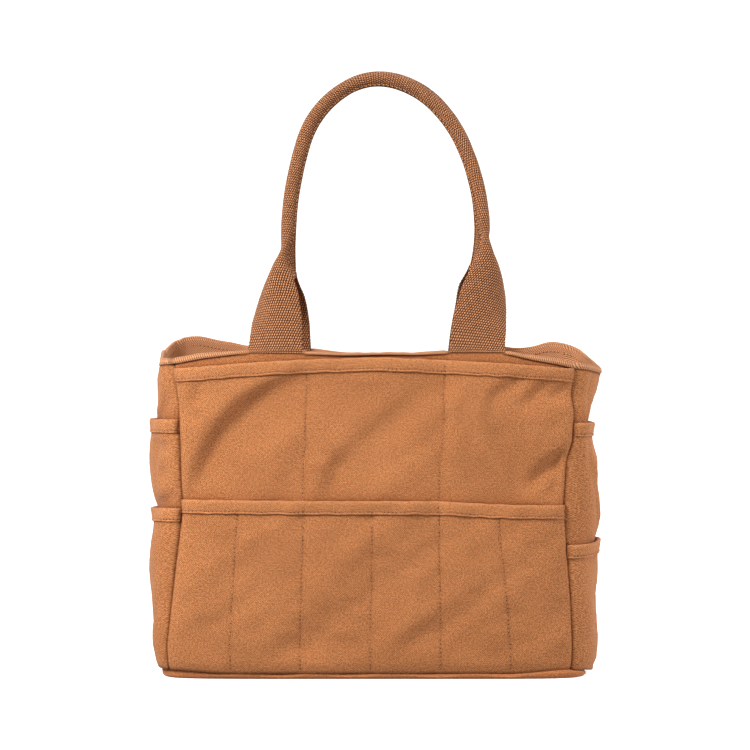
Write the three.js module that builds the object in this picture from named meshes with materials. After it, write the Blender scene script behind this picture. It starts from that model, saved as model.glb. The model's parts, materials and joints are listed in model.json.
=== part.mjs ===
// A soft canvas garden tool bag that stands open on a stiffened base. It has two tiers of bound pockets on each of its
// four sides, a tape inside its rim, and two handles of rolled webbing that fold out and down over the rim.
// Millimetres, +Z up. The front faces -Y, +X is to its right, and the origin is on the floor under the base's middle.
import * as THREE from "three";

const { PI, abs, asin, ceil, cos, floor, hypot, min, pow, sign, sin } = Math;

// Body: sizes are of the panels' inner face.
const RIM = 282; // rim height at the middle of the front and back
const RIM_DROP = 13; // how far the rim falls at the two front corners
const HALF_WIDTH = 183;
const HALF_DEPTH = 74;
const SIDE_SWELL = 4; // how far each gusset bellies out at mid height
const FACE_SWELL = 4; // the same for the front and back
const SQUARENESS = 7; // power of the superellipse that the body's plan follows
const SEAM_X = 172; // the corner seams' distance from the middle

// Cloth.
const CANVAS = 1.2; // thickness of one layer
const GAP = 0.3; // room left between layers that lie on each other
const SEAM_TRIM = 0.2; // each panel stops this short of its seam
const TAPE = 1; // thickness of the twill tape
const RIM_TAPE_WIDTH = 24;
const SEAM_TAPE_HALF = 6;
const ACROSS = 16; // facets across each side, the same for every layer so that the layers keep their gaps

// Base.
const FOOT = 8; // height of the seam between the base and the walls
const BASE_PROUD = 3; // how far the base stands out past the panels' inner face
const BASE_CLOTH = 1.5;
const BASE_ROUND = 7; // radius of the base's lower edge
const BOARD = 2;

// Pockets: each mouth's height, how far it sags at its two ends, and how far the pocket stands open in its middle.
const BINDING = 0.8; // thickness of the canvas strip folded over a pocket's mouth
const BINDING_HEIGHT = 12;
const MOUTH_STRETCH = 14; // the stretch below a mouth that stands open by the same amount
const FLAT = { opens: 1.4, atSeams: 1 }; // a pocket that lies closed
const OPEN = { opens: 8.5, atSeams: 0.2 }; // a pocket that stands open, and the share of that left at its seams
const SIDES = [
  { name: "front", upper: 276, lower: 152, sag: 9, ...FLAT },
  { name: "right", upper: 221, lower: 115, sag: 0, ...OPEN },
  { name: "back", upper: 276, lower: 152, sag: 9, ...FLAT },
  { name: "left", upper: 222, lower: 145, sag: 0, ...OPEN },
];

// Handles.
const WEBBING = 1.8;
const WEBBING_WIDTH = 46.5;
const GRIP_WRAP = 35.4; // width of webbing that goes round the grip
const CLOSED = 6.1; // angle that the webbing turns through where it is rolled shut
const FLARE = { start: -5, end: 105 }; // where the webbing rolls up, measured along it from the rim
const CORE_RADIUS = 4.1;
const CORE_START = 112;
const HANDLE_X = 86; // half the distance between a handle's two ends
const HANDLE_SHIFT = { front: 2.2, back: 5.1 }; // how far each handle sits to the right of the bag's middle
const END_LENGTH = 58; // length sewn inside the rim
const LEAN = 15 * (PI / 180); // how far each handle leans in, so that the two grips meet
const PIVOT_OUT = 0.9; // the fold's axis, outward from the panels' inner face
const PIVOT_UP = 0.3;
const FIRST = 0.6; // the moving webbing starts this far past the axis
const HANDLE_FRONT = { base: -2.1, grip: 3.4 }; // outermost fibre's distance from the handle's plane
// Each handle's middle line, as points across the bag and up along the leaning handle.
const HANDLE_LINES = {
  front: [
    [-83.8, 0], [-83.8, 10], [-82.6, 50], [-79, 87], [-74.9, 107], [-72.9, 137], [-66.6, 174], [-54.1, 212],
    [-33.5, 236], [3.5, 251], [40.6, 238], [66.1, 212], [84.2, 174.4], [92.8, 137], [96, 107], [96.8, 75],
    [94, 44], [88.2, 10], [88.2, 0],
  ],
  back: [
    [-80.9, 0], [-80.9, 10], [-79.2, 50], [-77.8, 80], [-77.3, 104], [-75.2, 137], [-68.4, 175], [-55.6, 213],
    [-34, 238], [4, 253], [43.2, 240.8], [69.2, 214], [87, 175.5], [95.6, 138], [97, 112], [94.4, 85],
    [92, 60], [92.8, 30], [91.1, 10], [91.1, 0],
  ],
};

const lerp = THREE.MathUtils.lerp;
const clamp01 = (v) => THREE.MathUtils.clamp(v, 0, 1);
const ease = (v, from, to) => THREE.MathUtils.smoothstep(v, from, to);

// Moves every vertex of a geometry to where place(x, y, z) puts it.
function bend(geometry, place) {
  const position = geometry.getAttribute("position");
  for (let i = 0; i < position.count; i++) {
    position.setXYZ(i, ...place(position.getX(i), position.getY(i), position.getZ(i), i));
  }
  geometry.computeVertexNormals();
  return geometry;
}

// A flat cut of cloth, 1 by 1 by 1, bent into place. place takes the shares across, up and outward.
const cloth = (across, up, place) =>
  bend(new THREE.BoxGeometry(1, 1, 1, across, up, 1).translate(0.5, 0.5, 0.5), place);

const belly = (z) => sin(PI * clamp01(z / RIM));

// A point of the plan on one side, 0 front, 1 right, 2 back or 3 left, at share f of the way along it, and the outward
// normal there. a and b are the plan's half sizes and seam is the distance of the corner seams from the middle.
function onPlan(side, f, a, b, seam, trim = 0) {
  const root = (ratio) => pow(1 - pow(abs(ratio), SQUARENESS), 1 / SQUARENESS);
  const along = sin((PI / 2) * (2 * f - 1));
  const half = side % 2 === 0 ? seam / a : root(seam / a);
  const length = side % 2 === 0 ? a : b;
  const p = along * (half - (length > 0 ? trim / length : 0));
  const [u, v] = side % 2 === 0 ? [p, -root(p)] : [root(p), p];
  const turn = side < 2 ? 1 : -1;
  const normal = new THREE.Vector2(
    (sign(u) * pow(abs(u), SQUARENESS - 1)) / a,
    (sign(v) * pow(abs(v), SQUARENESS - 1)) / (b || 1),
  ).normalize();
  return { x: turn * u * a, y: turn * v * b, nx: turn * normal.x, ny: turn * normal.y };
}

// The same on the wall at height z, moved outward from the panels' inner face.
function onWall(side, f, z, out, trim = 0) {
  const a = HALF_WIDTH + SIDE_SWELL * belly(z);
  const b = HALF_DEPTH + FACE_SWELL * belly(z);
  const p = onPlan(side, f, a, b, SEAM_X, trim);
  return [p.x + p.nx * out, p.y + p.ny * out, z];
}

// The rim's height: level but for its two front corners, and sloping down to them along the gussets.
function rimHeight(side, f) {
  const [x, y] = onWall(side, f, RIM, 0);
  const [, seamY] = onWall(1, 0, RIM, 0);
  const frontness = clamp01((1 + y / seamY) / 2);
  return RIM - RIM_DROP * pow(min(1, abs(x) / SEAM_X), 4) * frontness;
}

const body = new THREE.Group();
const canvas = new THREE.MeshStandardMaterial({ color: 0xc98a58, roughness: 0.9, metalness: 0 });
const twill = new THREE.MeshStandardMaterial({ color: 0xb5835f, roughness: 0.9, metalness: 0 });
const webbing = new THREE.MeshStandardMaterial({ color: 0xac734b, roughness: 0.85, metalness: 0 });
const rope = new THREE.MeshStandardMaterial({ color: 0xd9cdb8, roughness: 0.95, metalness: 0 });
const board = new THREE.MeshStandardMaterial({ color: 0x8f7a63, roughness: 0.8, metalness: 0 });

function add(name, geometry, material, group = body) {
  const mesh = new THREE.Mesh(geometry, material);
  mesh.name = name;
  group.add(mesh);
}

// A lathe whose turns follow the plan instead of a circle. The profile's x is the plan's half depth at that ring.
function onFootprint(profile) {
  const perSide = 10;
  const points = profile.map(([r, h]) => new THREE.Vector2(r, h));
  const lathe = new THREE.LatheGeometry(points, 4 * perSide);
  const turns = lathe.getAttribute("uv");
  return bend(lathe, (x, y, z, i) => {
    const t = 4 * turns.getX(i);
    const side = min(3, floor(t));
    const inset = HALF_DEPTH - hypot(x, z);
    const p = onPlan(side, t - side, HALF_WIDTH - inset, HALF_DEPTH - inset, SEAM_X - inset);
    return [p.x, p.y, y];
  });
}

// A quarter of a circle in the profile, turning up from the floor to an upright edge.
function roundedEdge(radius, outer, bottom) {
  const steps = 4;
  return Array.from({ length: steps + 1 }, (_, k) => {
    const turn = (k / steps) * (PI / 2);
    return [outer - radius * (1 - sin(turn)), bottom + radius * (1 - cos(turn))];
  });
}

function addBase() {
  const outer = HALF_DEPTH + BASE_PROUD;
  const inner = roundedEdge(BASE_ROUND - BASE_CLOTH, outer - BASE_CLOTH, BASE_CLOTH).reverse();
  const tray = [[0, 0], ...roundedEdge(BASE_ROUND, outer, 0), [outer, FOOT]];
  tray.push([outer - BASE_CLOTH, FOOT], ...inner, [0, BASE_CLOTH]);
  add("base_panel", onFootprint(tray), canvas);

  const slab = (edge, low, high) => onFootprint([[0, low], [edge, low], [edge, high], [0, high]]);
  const boardLow = BASE_CLOTH + GAP;
  const liningLow = boardLow + BOARD + GAP;
  add("base_stiffener", slab(HALF_DEPTH - 4, boardLow, boardLow + BOARD), board);
  add("base_lining", slab(HALF_DEPTH - 3, liningLow, liningLow + CANVAS), canvas);
}

const WALL_FOOT = FOOT + GAP;

function addPanels() {
  SIDES.forEach(({ name }, side) => {
    const place = (u, v, w) =>
      onWall(side, u, lerp(WALL_FOOT, rimHeight(side, u), v), w * CANVAS, SEAM_TRIM);
    add(side % 2 === 0 ? `${name}_panel` : `${name}_gusset`, cloth(ACROSS, 4, place), canvas);
  });
}

// One tier of pockets on one side: the sheet, and the canvas strip folded over its mouth.
function addPocket(side, tier) {
  const { name, upper, lower, sag, opens, atSeams } = SIDES[side];
  const mouth = tier === "upper" ? upper : lower;
  const flatBelow = tier === "upper" ? lower + 5 : WALL_FOOT + 20;
  const under = (tier === "upper" ? 1 : 2) * (CANVAS + GAP);
  const mouthAt = (f) => mouth - (tier === "upper" ? sag : 0) * pow(2 * f - 1, 2);
  const inside = (f, z) => {
    const bow = atSeams + (1 - atSeams) * sin(PI * clamp01(f));
    return under + opens * bow * ease(z, flatBelow, mouthAt(f) - MOUTH_STRETCH);
  };

  // The top row of facets is the stretch below the mouth.
  const rows = 6;
  const sheet = cloth(ACROSS, rows, (u, v, w) => {
    const stretchFoot = mouthAt(u) - MOUTH_STRETCH;
    const row = v * rows;
    const intoStretch = row - (rows - 1);
    const z =
      intoStretch < 0
        ? lerp(WALL_FOOT, stretchFoot, row / (rows - 1))
        : lerp(stretchFoot, mouthAt(u), intoStretch);
    return onWall(side, u, z, inside(u, z) + w * CANVAS, SEAM_TRIM);
  });
  add(`${name}_${tier}_pocket`, sheet, canvas);

  // The strip's section: x outward from the sheet's inner face, y up from its mouth.
  const near = -GAP - BINDING;
  const far = CANVAS + GAP + BINDING;
  const top = GAP + BINDING;
  const section = new THREE.Shape(
    [
      [far, -BINDING_HEIGHT], [far, top], [near, top], [near, -BINDING_HEIGHT],
      [-GAP, -BINDING_HEIGHT], [-GAP, GAP], [CANVAS + GAP, GAP], [CANVAS + GAP, -BINDING_HEIGHT],
    ].map(([x, y]) => new THREE.Vector2(x, y)),
  );
  const strip = new THREE.ExtrudeGeometry(section, { depth: 1, steps: ACROSS, bevelEnabled: false });
  bend(strip, (x, y, s) => {
    const f = 1 - s;
    const z = mouthAt(f) + y;
    return onWall(side, f, z, inside(f, z) + x, SEAM_TRIM);
  });
  add(`${name}_${tier}_pocket_binding`, strip, canvas);
}

// The share along the front or back at which x lies.
const shareAt = (x) => asin(x / SEAM_X) / PI + 0.5;

// How far the sewn handle ends hold the rim tape off the panel.
function tapeStand(side, x) {
  if (side % 2) return 0;
  return (WEBBING + 2 * GAP) * (ease(abs(x), 5, 33) - ease(abs(x), 122, 155));
}

function addRimTape() {
  const reach = 100;
  const corner = (out, h) => new THREE.Vector2(reach + out, h);
  const top = -0.5;
  const profile = [
    corner(-GAP - TAPE, top - RIM_TAPE_WIDTH), corner(-GAP, top - RIM_TAPE_WIDTH),
    corner(-GAP, top), corner(-GAP - TAPE, top), corner(-GAP - TAPE, top - RIM_TAPE_WIDTH),
  ];
  const lathe = new THREE.LatheGeometry(profile, 4 * ACROSS);
  const turns = lathe.getAttribute("uv");
  bend(lathe, (x, y, z, i) => {
    const t = 4 * turns.getX(i);
    const side = min(3, floor(t));
    const [wx] = onWall(side, t - side, RIM, 0);
    const out = hypot(x, z) - reach - tapeStand(side, wx);
    return onWall(side, t - side, rimHeight(side, t - side) + y, out);
  });
  add("rim_tape", lathe, twill);
}

// The tapes that cover the four corner seams inside, each bent round its corner.
function addSeamTapes() {
  const [, seamY] = onWall(1, 1, RIM / 2, 0);
  const spread = (half) => Math.sqrt((2 * SEAM_TAPE_HALF) / half) / PI;
  const high = RIM - RIM_DROP - RIM_TAPE_WIDTH - 4;
  SIDES.forEach((before, side) => {
    const next = (side + 1) % 4;
    const halves = side % 2 === 0 ? [SEAM_X, seamY] : [seamY, SEAM_X];
    const place = (u, v, w) => {
      const z = lerp(WALL_FOOT + 2, high, v);
      const out = lerp(-2 * GAP - TAPE, -2 * GAP, w);
      return u <= 0.5
        ? onWall(side, 1 - spread(halves[0]) * (1 - 2 * u), z, out)
        : onWall(next, spread(halves[1]) * (2 * u - 1), z, out);
    };
    add(`${before.name}_${SIDES[next].name}_seam_tape`, cloth(4, 4, place), twill);
  });
}

// The flat ends of the webbing, sewn between the panel and the rim tape.
function addHandleEnds() {
  for (const side of [0, 2]) {
    const shift = HANDLE_SHIFT[SIDES[side].name];
    for (const [which, middle] of [["left", shift - HANDLE_X], ["right", shift + HANDLE_X]]) {
      const place = (u, v, w) => {
        const x = middle + (u - 0.5) * WEBBING_WIDTH;
        const f = shareAt(side === 0 ? x : -x);
        const z = lerp(RIM - END_LENGTH, rimHeight(side, f) - GAP, v);
        return onWall(side, f, z, lerp(-GAP - WEBBING, -GAP, w));
      };
      // Seen from the back the shares run the other way, so u does too.
      const turned = side === 0 ? place : (u, v, w) => place(1 - u, v, w);
      add(`${SIDES[side].name}_handle_${which}_end`, cloth(4, 2, turned), webbing);
    }
  }
}

// A handle stands on its fold axis, in a group that leans it in. Its plane's axes are x across the bag and y up along
// the handle, and z is outward.
function addHandle(name, line, group) {
  const curve = new THREE.CatmullRomCurve3(line.map(([x, y]) => new THREE.Vector3(x, y, 0)));
  curve.arcLengthDivisions = 400;
  const length = curve.getLength();
  const frameAt = (share) => {
    const p = curve.getPointAt(clamp01(share));
    const t = curve.getTangentAt(clamp01(share));
    const rolled = ease(min(share, 1 - share) * length, FLARE.start, FLARE.end);
    const angle = lerp(0.02, CLOSED, rolled);
    const radius = lerp(WEBBING_WIDTH, GRIP_WRAP, rolled) / angle;
    const centre = lerp(HANDLE_FRONT.base, HANDLE_FRONT.grip, rolled) - radius;
    // inward points across the webbing, to the inside of the arch.
    return { p, inward: new THREE.Vector2(t.y, -t.x), angle, radius, centre };
  };
  const at = ({ p, inward }, across, out) => [p.x + inward.x * across, p.y + inward.y * across, out];

  const first = FIRST / length;
  const place = (u, v, w) => {
    const f = frameAt(lerp(first, 1 - first, v));
    const turn = (u - 0.5) * f.angle;
    const r = f.radius + (w - 0.5) * WEBBING;
    return at(f, r * sin(turn), f.centre + r * cos(turn));
  };
  add(`${name}_handle_webbing`, cloth(10, 42, place), webbing, group);

  const coreFirst = CORE_START / length;
  const steps = 28;
  const core = new THREE.CylinderGeometry(CORE_RADIUS, CORE_RADIUS, 1, 8, steps).translate(0, 0.5, 0);
  bend(core, (x, y, z) => {
    const f = frameAt(lerp(coreFirst, 1 - coreFirst, y));
    return at(f, x, f.centre + z);
  });
  add(`${name}_handle_core`, core, rope, group);
}

function addHandles() {
  const [, frontY] = onWall(0, shareAt(HANDLE_X), RIM, PIVOT_OUT);
  // The back handle is built facing forward and turned round, so its line is mirrored first.
  const mirrored = HANDLE_LINES.back.map(([x, y]) => [-x, y]).reverse();
  for (const [name, turn, line] of [["front", 0, HANDLE_LINES.front], ["back", PI, mirrored]]) {
    const leaning = new THREE.Group();
    leaning.position.set(0, frontY, RIM + PIVOT_UP);
    leaning.rotation.x = PI / 2 - LEAN;
    const facing = new THREE.Group();
    facing.rotation.z = turn;
    facing.add(leaning);
    body.add(facing);
    addHandle(name, line, leaning);
  }
}

addBase();
addPanels();
SIDES.forEach((_, side) => {
  addPocket(side, "upper");
  addPocket(side, "lower");
});
addRimTape();
addSeamTapes();
addHandleEnds();
addHandles();

export default body;
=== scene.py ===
"""A soft canvas garden tool bag that stands open, with bound pockets in two tiers and two handles of rolled
webbing.

Lengths are in millimetres until a mesh is made. The wall's four sides run round the bag from its left front
corner: front, right, back, left. On each, s is the distance from the side's middle, growing to the right as
the side is seen from outside, z is the height and out is the distance outward from the panels' inner face.
"""

import json
import math

import bmesh
import bpy
import numpy as np
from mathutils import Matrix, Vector


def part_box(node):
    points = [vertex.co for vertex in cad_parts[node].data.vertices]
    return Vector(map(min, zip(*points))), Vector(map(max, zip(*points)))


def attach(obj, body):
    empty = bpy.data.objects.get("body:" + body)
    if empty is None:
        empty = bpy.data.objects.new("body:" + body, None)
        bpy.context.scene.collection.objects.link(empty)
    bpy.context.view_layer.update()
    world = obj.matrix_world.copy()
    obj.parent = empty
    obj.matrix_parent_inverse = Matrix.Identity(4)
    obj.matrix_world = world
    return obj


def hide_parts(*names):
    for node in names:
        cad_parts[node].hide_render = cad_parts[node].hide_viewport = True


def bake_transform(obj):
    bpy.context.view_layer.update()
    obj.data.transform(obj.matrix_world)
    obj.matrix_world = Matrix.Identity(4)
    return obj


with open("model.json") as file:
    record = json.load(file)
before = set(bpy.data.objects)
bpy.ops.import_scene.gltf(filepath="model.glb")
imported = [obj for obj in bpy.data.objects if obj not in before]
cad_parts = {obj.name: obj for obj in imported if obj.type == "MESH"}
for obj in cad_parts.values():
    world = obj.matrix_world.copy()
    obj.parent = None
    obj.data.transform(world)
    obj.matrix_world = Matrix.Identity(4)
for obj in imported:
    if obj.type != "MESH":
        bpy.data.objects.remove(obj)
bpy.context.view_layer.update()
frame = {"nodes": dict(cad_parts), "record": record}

MM = 0.001
FRONT, RIGHT, BACK, LEFT = range(4)
NAMES = ("front", "right", "back", "left")
TIERS = ("upper", "lower")


def box_mm(node):
    """A CAD node's lowest and highest corner, in millimetres."""
    return [np.array(corner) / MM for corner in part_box(node)]


CANVAS = 1.2  # the cloth's thickness
GAP = 0.3  # between two layers that touch
SQUARENESS = 7  # the power of the plan's superellipse
SWELL = 4  # how far the walls stand out at half height
STITCH = 3.5  # from one needle hole to the next
STITCH_DROP = 8.6  # from a pocket's mouth to the row of stitches along it
BINDING_DROP = 11.3  # and to the shadow below its binding

# Webbing.
WEBBING = 1.8  # its thickness
WEBBING_HALF = 23.25  # half its width
HANDLE_X = 86  # from a handle's middle to the middle of each sewn end
SEWN_SHIFT = {"front": 2.2, "back": 5.1}  # how far each handle is to the right of the bag's middle

# The body, from the frame: heights of the walls' foot and rim, and half sizes of the plan.
panel_low, panel_high = box_mm("front_panel")
gusset_high = box_mm("right_gusset")[1]
FOOT = panel_low[2]
RIM = panel_high[2]
SEAM = panel_high[0]
HALF_WIDTH = gusset_high[0] - SWELL - CANVAS
HALF_DEPTH = -panel_low[1] - SWELL - CANVAS


def ease(v, start, end):
    """0 before the start, 1 past the end, and a smooth step between them."""
    t = np.clip((np.asarray(v, float) - start) / (end - start), 0, 1)
    return t * t * (3 - 2 * t)


def bell(v, width):
    """1 at zero, falling away on both sides over about the width."""
    return np.exp(-((v / width) ** 2))


def walked(points):
    """The distance walked along a line of points, at each of them."""
    return np.concatenate([[0], np.cumsum(np.hypot(*np.diff(np.array(points, float), axis=0).T))])


def unit(vectors):
    return vectors / np.linalg.norm(vectors, axis=-1, keepdims=True)


def smooth_curve(knots, width):
    """A function through roughly these (x, y) knots, rounded off over the given width."""
    xs, ys = np.array(sorted(knots), float).T
    fine = np.linspace(xs[0] - 3 * width, xs[-1] + 3 * width, 600)
    step = fine[1] - fine[0]
    reach = int(3 * width / step) + 1
    kernel = bell(np.arange(-reach, reach + 1) * step, width)
    padded = np.interp(np.pad(fine, reach, mode="reflect", reflect_type="odd"), xs, ys)
    rounded = np.convolve(padded, kernel / kernel.sum(), mode="valid")
    return lambda x: np.interp(x, fine, rounded)


def wave(seed, count, shortest, longest):
    """A smooth function of one length, of about unit size, that doesn't repeat."""
    rng = np.random.default_rng(seed)
    lengths = rng.uniform(shortest, longest, count)
    phases = rng.uniform(0, 2 * math.pi, count)

    def height(x):
        return sum(np.sin(2 * math.pi * x / l + p) for l, p in zip(lengths, phases)) / math.sqrt(count)

    return height


# ---------------------------------------------------------------- the body's form

# How far each corner seam is drawn toward the middle of the bag, by height. Corner k begins side k.
CORNERS = [
    smooth_curve(knots, 5)
    for knots in (
        [(8, -3), (28, -4.5), (60, -1), (100, 3.5), (145, 9), (170, 7), (205, 6), (240, 4.5), (258, 1.5),
         (282, 0)],
        [(8, 4), (28, 3), (67, 4.5), (100, 7), (145, 10), (190, 7), (205, 2), (232, 0.5), (245, 3.5),
         (256, 1.5), (282, 0)],
        [(8, 2), (30, 0), (90, 3), (140, 6), (190, 5), (230, 3), (282, 0)],
        [(8, 1), (30, -1), (90, 4), (150, 7), (200, 5), (240, 1), (264, -2), (285, -4)],
    )
]

TOWARD_MIDDLE = ((1, 1), (-1, 1), (-1, -1), (1, -1))

# How far the middle of each gusset stands out past the plan, by height.
BELLIES = {
    RIGHT: smooth_curve(
        [(8, 9), (14, 10.5), (33, 9.5), (74, 6), (103, 3.5), (114, 4.5), (127, 8.5), (140, 11.5),
         (152, 11.2), (168, 8.5), (188, 8), (201, 3), (210, 1.5), (222, 4.5), (234, 8.5), (247, 13),
         (260, 15), (290, 14)], 4),
    LEFT: smooth_curve(
        [(8, 0.5), (14, 1.2), (33, 2), (60, 3), (94, 4.5), (115, 3.5), (130, 0.8), (143, 2), (152, 8),
         (164, 9.5), (176, 8.5), (189, 6.5), (201, 5.5), (214, 3.5), (226, 5.4), (239, 5.3), (251, 5.2),
         (266, 5), (290, 4.5)], 4),
}

# Rim height along each side, by the share of the way along it.
RIMS = [
    smooth_curve(knots, 0.015)
    for knots in (
        [(0, 272), (0.075, 277), (0.14, 279.6), (0.185, 281), (0.32, 280.4), (0.42, 279.2), (0.53, 280),
         (0.61, 279.6), (0.69, 281), (0.82, 281.3), (0.85, 279.2), (0.89, 275.8), (0.97, 271), (1, 268.2)],
        [(0, 268.2), (0.15, 266), (0.35, 264), (0.5, 263.9), (0.7, 268), (0.85, 275), (1, 286)],
        [(0, 286), (0.02, 287.4), (0.045, 287.6), (0.075, 284.5), (0.1, 283), (0.13, 283.6), (0.155, 285.8),
         (0.3, 283), (0.4, 280.8), (0.5, 280.2), (0.58, 281.2), (0.67, 285), (0.75, 285.5), (0.835, 286.7),
         (0.857, 288.5), (0.9, 289.8), (0.95, 293.4), (0.975, 293), (1, 290.2)],
        [(0, 290.2), (0.1, 284), (0.25, 277), (0.45, 271.5), (0.7, 270.5), (1, 272)],
    )
]


def swell_at(z):
    return SWELL * np.sin(np.pi * np.clip(z / RIM, 0, 1))


def plan(side, s, z):
    """Points of the plain superellipse plan and their outward normals, as arrays of x, y and nx, ny."""
    swell = swell_at(z)
    a, b = HALF_WIDTH + swell, HALF_DEPTH + swell
    along, across = (a, b) if side in (FRONT, BACK) else (b, a)
    ratio = np.clip(np.abs(s) / along, 0, 0.98)
    depth = (1 - ratio**SQUARENESS) ** (1 / SQUARENESS)
    ns = np.sign(s) * ratio ** (SQUARENESS - 1) / along
    nd = depth ** (SQUARENESS - 1) / across
    length = np.hypot(ns, nd)
    return turned(side, s, depth * across) + turned(side, ns / length, nd / length)


def turned(side, s, d):
    """A side's own s and outward d as x and y."""
    return ((s, -d), (d, s), (-s, d), (-d, -s))[side]


def half_length(side, z):
    """Half a side's length between its seams."""
    if side in (FRONT, BACK):
        return SEAM + 0 * np.asarray(z, float)
    ratio = SEAM / (HALF_WIDTH + swell_at(z))
    return (HALF_DEPTH + swell_at(z)) * (1 - ratio**SQUARENESS) ** (1 / SQUARENESS)


def rounded(points, per_leg=6):
    """The points of a smooth curve through these."""
    p = np.array(points, float)
    p = np.vstack([2 * p[0] - p[1], p, 2 * p[-1] - p[-2]])
    t = np.linspace(0, 1, per_leg, endpoint=False)[:, None]
    legs = [
        0.5 * (2 * b + (c - a) * t + (2 * a - 5 * b + 4 * c - d) * t**2 + (3 * b - a - 3 * c + d) * t**3)
        for a, b, c, d in zip(p, p[1:], p[2:], p[3:])
    ]
    return np.vstack(legs + [p[-2:-1]])


def fold(s, z, points, depth, steep, gentle):
    """Cloth that drops along a curve, steeply from the curve's right, then comes back slowly on its left."""
    curve = rounded(points)
    legs = np.diff(curve, axis=0)
    lengths = np.hypot(*legs.T)
    run = np.concatenate([[0], np.cumsum(lengths)])
    shape = np.broadcast(s, z).shape
    nearest, away, place = np.full(shape, 1e9), np.zeros(shape), np.zeros(shape)
    for k, (start, leg, length, begun) in enumerate(zip(curve, legs / lengths[:, None], lengths, run)):
        along = (s - start[0]) * leg[0] + (z - start[1]) * leg[1]
        off = leg[0] * (z - start[1]) - leg[1] * (s - start[0])
        low = -1e6 if k == 0 else 0
        high = 1e6 if k == len(legs) - 1 else length
        distance = np.hypot(off, along - np.clip(along, low, high))
        closer = distance < nearest
        nearest = np.where(closer, distance, nearest)
        away = np.where(closer, np.copysign(distance, off), away)
        place = np.where(closer, (begun + along) / run[-1], place)
    taper = ease(place, -0.12, 0.3) * ease(1 - place, -0.12, 0.3)
    drop = 0.5 + 0.5 * np.tanh(away / steep)
    back = bell(np.maximum(away, 0), gentle)
    lip = 0.25 * bell(away + 1.6 * steep, 1.6 * steep)
    return depth * taper * (lip - drop * back)


FRONT_FOLDS = (
    ([(-62, 268), (-70, 264), (-93, 252), (-119, 235), (-141, 212), (-156, 186), (-163, 168),
      (-166, 154)], 8, 5.5, 42),
    ([(-150, 258), (-158, 248), (-162, 236)], 2.2, 3.5, 10),
    ([(-30, 200), (-36, 188), (-44, 170), (-52, 158)], 2.6, 5, 22),
    ([(-60, 200), (-74, 182), (-94, 164)], 1.8, 5, 18),
    ([(42, 266), (33, 249), (12, 229), (-16, 205), (-36, 180), (-46, 162)], 3.2, 7, 34),
    ([(60, 180), (52, 168), (40, 158)], 1.4, 5, 16),
    ([(66, 274), (67, 240), (66, 200), (60, 165)], -2.6, 6, 26),
    ([(134, 264), (116, 257), (102, 244), (96, 224)], 3.6, 4.5, 18),
    ([(148, 260), (137, 246), (122, 234)], 3.2, 4, 13),
    ([(170, 256), (161, 250), (152, 240)], 2.8, 3.6, 10),
    ([(92, 222), (102, 204), (118, 182), (132, 154)], 6.0, 5, 28),
    ([(176, 200), (152, 184), (134, 164)], 4.8, 4.5, 17),
    ([(166, 172), (156, 162), (148, 154)], 2.4, 3.5, 10),
    ([(64, 144), (46, 135), (10, 110), (-28, 79), (-52, 56), (-82, 36), (-108, 22)], 3.6, 9, 44),
    ([(91, 138), (96, 120), (105, 84), (115, 44)], -2.8, 4, 26),
    ([(90, 68), (66, 54), (40, 42), (18, 26)], 2.6, 7, 26),
    ([(-40, 44), (-56, 34), (-72, 26)], 1.5, 6, 20),
    ([(-128, 120), (-140, 92), (-144, 60)], 1.3, 8, 28),
)
BACK_FOLDS = (
    ([(86, 268), (70, 258), (44, 238), (24, 208), (14, 176)], 5.0, 6, 40),
    ([(-70, 262), (-96, 246), (-122, 222), (-138, 190)], 4.2, 6, 34),
    ([(168, 252), (156, 244), (146, 232)], 2.6, 4, 12),
    ([(-120, 186), (-136, 172), (-152, 160)], 2.6, 4.5, 14),
    ([(150, 196), (138, 180), (124, 164)], 2.6, 5, 18),
    ([(70, 140), (50, 116), (22, 84), (10, 50)], 3.0, 9, 40),
    ([(-84, 134), (-96, 106), (-108, 66)], 2.4, 8, 34),
    ([(140, 120), (132, 92), (134, 56)], 1.8, 7, 26),
)
RIGHT_FOLDS = (
    ([(-46, 266), (-52, 248), (-50, 228), (-56, 208)], 3.4, 3.5, 13),
    ([(-24, 262), (-30, 240), (-26, 216)], 2.4, 5, 20),
    ([(22, 256), (16, 226), (20, 190)], 2.2, 6, 22),
    ([(-34, 212), (-40, 184), (-36, 150)], 2.0, 6, 18),
    ([(4, 164), (-4, 144), (-2, 122)], 1.8, 6, 18),
    ([(-54, 204), (-46, 176), (-34, 146), (-24, 122)], -2.6, 2.8, 12),
    ([(-64, 214), (-56, 198), (-58, 178)], 3.0, 3.4, 12),
    ([(30, 96), (22, 66), (26, 34)], 1.8, 7, 24),
    ([(-30, 96), (-34, 60), (-28, 30)], 1.8, 7, 22),
)
LEFT_FOLDS = (
    ([(62, 252), (55, 239), (42, 228), (28, 224)], 3.2, 3.5, 12),
    ([(34, 266), (22, 250), (20, 236)], 2.0, 5, 18),
    ([(4, 262), (-6, 226), (2, 190)], 2.2, 6, 22),
    ([(48, 208), (40, 180), (46, 152)], 2.4, 4.5, 16),
    ([(68, 207), (54, 203), (40, 207)], 2.6, 2.8, 9),
    ([(60, 188), (52, 176), (60, 164)], 3.0, 3.2, 12),
    ([(68, 162), (52, 154), (36, 158)], 3.2, 2.8, 10),
    ([(-24, 206), (-32, 180), (-26, 152)], 1.8, 6, 20),
    ([(36, 128), (26, 90), (32, 48)], 2.0, 7, 24),
    ([(-14, 128), (-24, 84), (-16, 40)], 1.8, 8, 26),
)
FOLDS = (FRONT_FOLDS, RIGHT_FOLDS, BACK_FOLDS, LEFT_FOLDS)

# The heights of the pockets' mouths and feet, by tier and side.
MOUTHS = {tier: [box_mm(f"{name}_{tier}_pocket")[1][2] for name in NAMES] for tier in TIERS}
FEET = {"upper": MOUTHS["lower"], "lower": [FOOT] * 4}
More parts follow.
